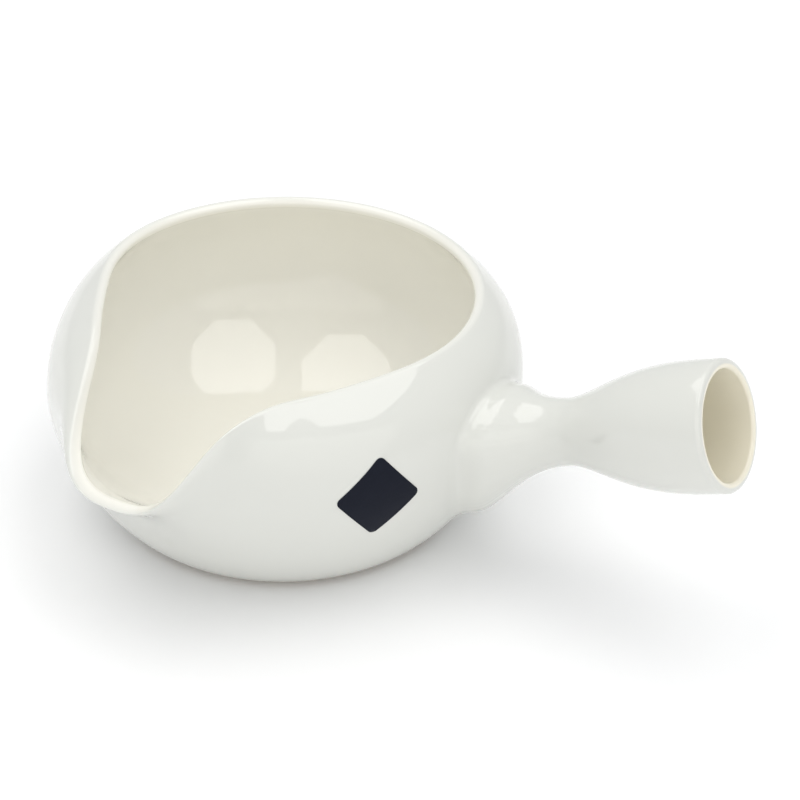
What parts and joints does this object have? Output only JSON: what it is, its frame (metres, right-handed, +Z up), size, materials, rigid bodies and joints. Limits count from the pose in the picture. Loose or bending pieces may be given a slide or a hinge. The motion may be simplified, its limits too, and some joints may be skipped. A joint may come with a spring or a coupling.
{
  "type": "side-handled tea pouring bowl",
  "caption": "Open glazed pouring bowl for Japanese tea, round-bellied, with a wide drawn-out lip and a hollow flared side handle set square to the lip.",
  "frame": {"origin": "centre of the flat underside of the foot, on the table", "axes": "+X out of the bowl on the side of the handle, -Y the way the lip pours, +Z up from the table"},
  "size_m": [0.1743, 0.1285, 0.0679],
  "materials": {
    "bowl_glaze": "glossy off-white glaze",
    "handle_glaze": "glossy off-white glaze",
    "slip_clay": "fired slip under the glaze",
    "label_paper": "satin coated paper, dark navy"
  },
  "bodies": {
    "root": {"bowl": "bowl_glaze", "handle": "handle_glaze", "luting_slip": "slip_clay", "label": "label_paper"}
  },
  "joints": []
}
